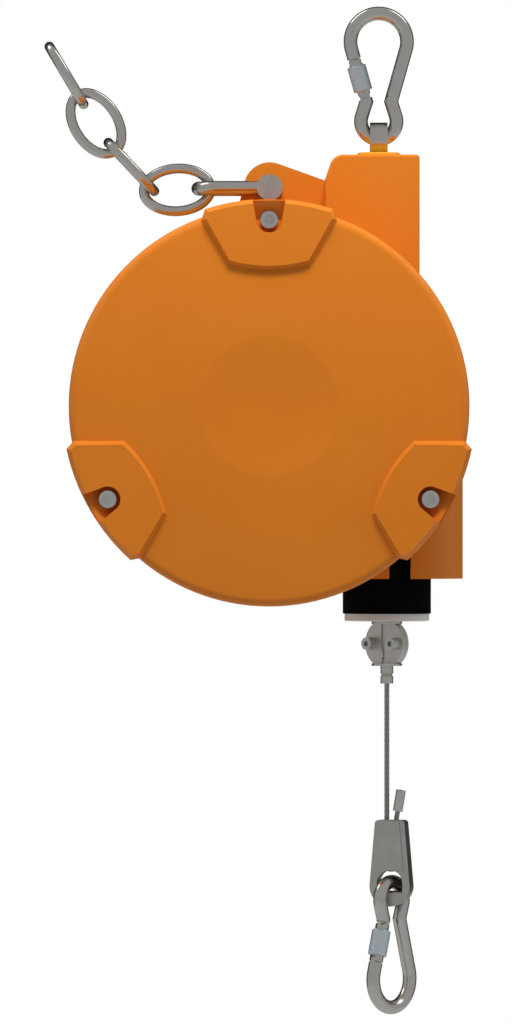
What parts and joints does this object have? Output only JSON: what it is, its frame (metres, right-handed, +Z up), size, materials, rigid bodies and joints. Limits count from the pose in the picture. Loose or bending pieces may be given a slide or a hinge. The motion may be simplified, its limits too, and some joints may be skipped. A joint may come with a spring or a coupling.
{
  "type": "tool balancer",
  "caption": "Spring-driven tool balancer: round cast housing on a swivelling snap hook, wire rope with stop and wedge socket, lower snap hook, and a safety chain on an ear.",
  "frame": {"origin": "the hanging point: where the upper snap hook rests on its eye, inside the top of its big bow", "axes": "+Z up along the load's line, +X to the right seen from the cover side, +Y to the back"},
  "size_m": [0.2462, 0.1304, 0.5845],
  "materials": {
    "casing_paint": "satin powder coat",
    "bush_paint": "satin",
    "polished_steel": "polished",
    "matt_steel": "matt, knurled",
    "machined_steel": "machined",
    "bright_screw": "satin",
    "rope_steel": "stranded",
    "buffer_rubber": "matt",
    "guide_plastic": "matt",
    "drum_metal": "cast",
    "bearing_metal": "sintered",
    "wheel_metal": "machined"
  },
  "bodies": {
    "hanging_hook": {"hanging_hook_frame": "polished_steel", "hanging_hook_gate_pin": "polished_steel", "suspension_shank": "polished_steel", "shank_nut": "machined_steel", "shank_split_pin": "machined_steel"},
    "hanging_gate": {"hanging_hook_gate": "polished_steel"},
    "hanging_sleeve": {"hanging_hook_sleeve": "matt_steel"},
    "housing": {"shank_bush": "bush_paint", "thrust_bearing": "machined_steel", "front_cover": "casing_paint", "rear_housing": "casing_paint", "cover_screw_1": "bright_screw", "cover_screw_2": "bright_screw", "cover_screw_3": "bright_screw", "gear_cover": "casing_paint", "rubber_buffer": "buffer_rubber", "rope_guide": "guide_plastic", "chain_bolt": "machined_steel", "chain_bolt_nut": "machined_steel"},
    "drum": {"rope_drum": "drum_metal", "drum_bearing_front": "bearing_metal", "drum_bearing_rear": "bearing_metal", "spring_case": "machined_steel", "mainspring": "machined_steel", "rope_on_drum": "rope_steel"},
    "winding": {"spring_arbor": "machined_steel", "worm_wheel": "wheel_metal"},
    "worm": {"worm_shaft": "machined_steel"},
    "load_line": {"rope_upper_run": "rope_steel", "rope_lower_run": "rope_steel", "rope_stop_front": "machined_steel", "rope_stop_rear": "machined_steel", "clamp_screw_left": "bright_screw", "clamp_screw_right": "bright_screw", "stop_top_plate": "machined_steel", "stop_bottom_plate": "machined_steel", "stop_ferrule": "machined_steel", "wedge_socket": "machined_steel", "rope_wedge": "machined_steel", "rope_end": "rope_steel", "dead_end_ferrule": "machined_steel"},
    "load_hook": {"load_hook_frame": "polished_steel", "load_hook_gate_pin": "polished_steel"},
    "load_gate": {"load_hook_gate": "polished_steel"},
    "load_sleeve": {"load_hook_sleeve": "matt_steel"},
    "shackle": {"chain_shackle": "polished_steel"},
    "link_2": {"chain_link_2": "polished_steel"},
    "link_3": {"chain_link_3": "polished_steel"},
    "link_4": {"chain_link_4": "polished_steel"},
    "link_5": {"chain_link_5": "polished_steel"}
  },
  "joints": [
    {"name": "hanging_gate_hinge", "type": "hinge", "parent": "hanging_hook", "child": "hanging_gate", "pos_m": [-0.00889, 0, -0.04118], "axis": [0, 1, 0], "range_deg": [0, 22], "stiffness_Nm_per_rad": 0.02, "springref_deg": -17.19},
    {"name": "hanging_sleeve_slide", "type": "slide", "parent": "hanging_gate", "child": "hanging_sleeve", "axis": [0.2726, 0, -0.9621], "range_m": [-0.008, 0]},
    {"name": "housing_swivel", "type": "hinge", "parent": "hanging_hook", "child": "housing", "pos_m": [0, 0, -0.0947], "axis": [0, 0, 1], "continuous": true},
    {"name": "load_travel", "type": "slide", "parent": "housing", "child": "load_line", "axis": [0, 0, -1], "range_m": [0, 2], "stiffness_N_per_m": 5, "springref_m": -8, "deforming": ["rope_upper_run"]},
    {"name": "drum_turn", "type": "hinge", "parent": "housing", "child": "drum", "pos_m": [-0.0637, 0, -0.2246], "axis": [0, 1, 0], "range_deg": [0, 1677]},
    {"name": "worm_turn", "type": "hinge", "parent": "housing", "child": "worm", "pos_m": [-0.0637, 0.0485, -0.19955], "axis": [1, 0, 0], "continuous": true},
    {"name": "winding_turn", "type": "hinge", "parent": "housing", "child": "winding", "pos_m": [-0.0637, 0, -0.2246], "axis": [0, 1, 0], "continuous": true},
    {"name": "load_hook_swing", "type": "hinge", "parent": "load_line", "child": "load_hook", "pos_m": [0.00741, -0.0007, -0.50935], "axis": [0.9681, -0.2504, 0], "range_deg": [-12, 12]},
    {"name": "load_gate_hinge", "type": "hinge", "parent": "load_hook", "child": "load_gate", "pos_m": [0.00158, -0.00741, -0.52731], "axis": [0.7547, -0.6561, 0], "range_deg": [0, 22], "stiffness_Nm_per_rad": 0.02, "springref_deg": -17.19},
    {"name": "load_sleeve_slide", "type": "slide", "parent": "load_gate", "child": "load_sleeve", "axis": [0.1788, 0.2057, 0.9621], "range_m": [-0.008, 0]},
    {"name": "shackle_swing", "type": "hinge", "parent": "housing", "child": "shackle", "pos_m": [-0.0633, 0, -0.0976], "axis": [0, 1, 0], "range_deg": [-4, 45]},
    {"name": "link_2_swing", "type": "hinge", "parent": "shackle", "child": "link_2", "pos_m": [-0.1047, 0, -0.0976], "axis": [0, 1, 0], "range_deg": [-8, 30]},
    {"name": "link_3_swing", "type": "hinge", "parent": "link_2", "child": "link_3", "pos_m": [-0.13015, 0, -0.09916], "axis": [0, -1, 0], "range_deg": [-30, 30]},
    {"name": "link_4_swing", "type": "hinge", "parent": "link_3", "child": "link_4", "pos_m": [-0.15681, 0, -0.07097], "axis": [0, 1, 0], "range_deg": [-30, 30]},
    {"name": "link_5_swing", "type": "hinge", "parent": "link_4", "child": "link_5", "pos_m": [-0.17122, 0, -0.04861], "axis": [0, -1, 0], "range_deg": [-30, 30]}
  ],
  "couplings": [
    {"joint": "drum_turn", "follows": "load_travel", "rad_per_m": 14.62},
    {"joint": "winding_turn", "follows": "worm_turn", "ratio": -0.033333}
  ]
}
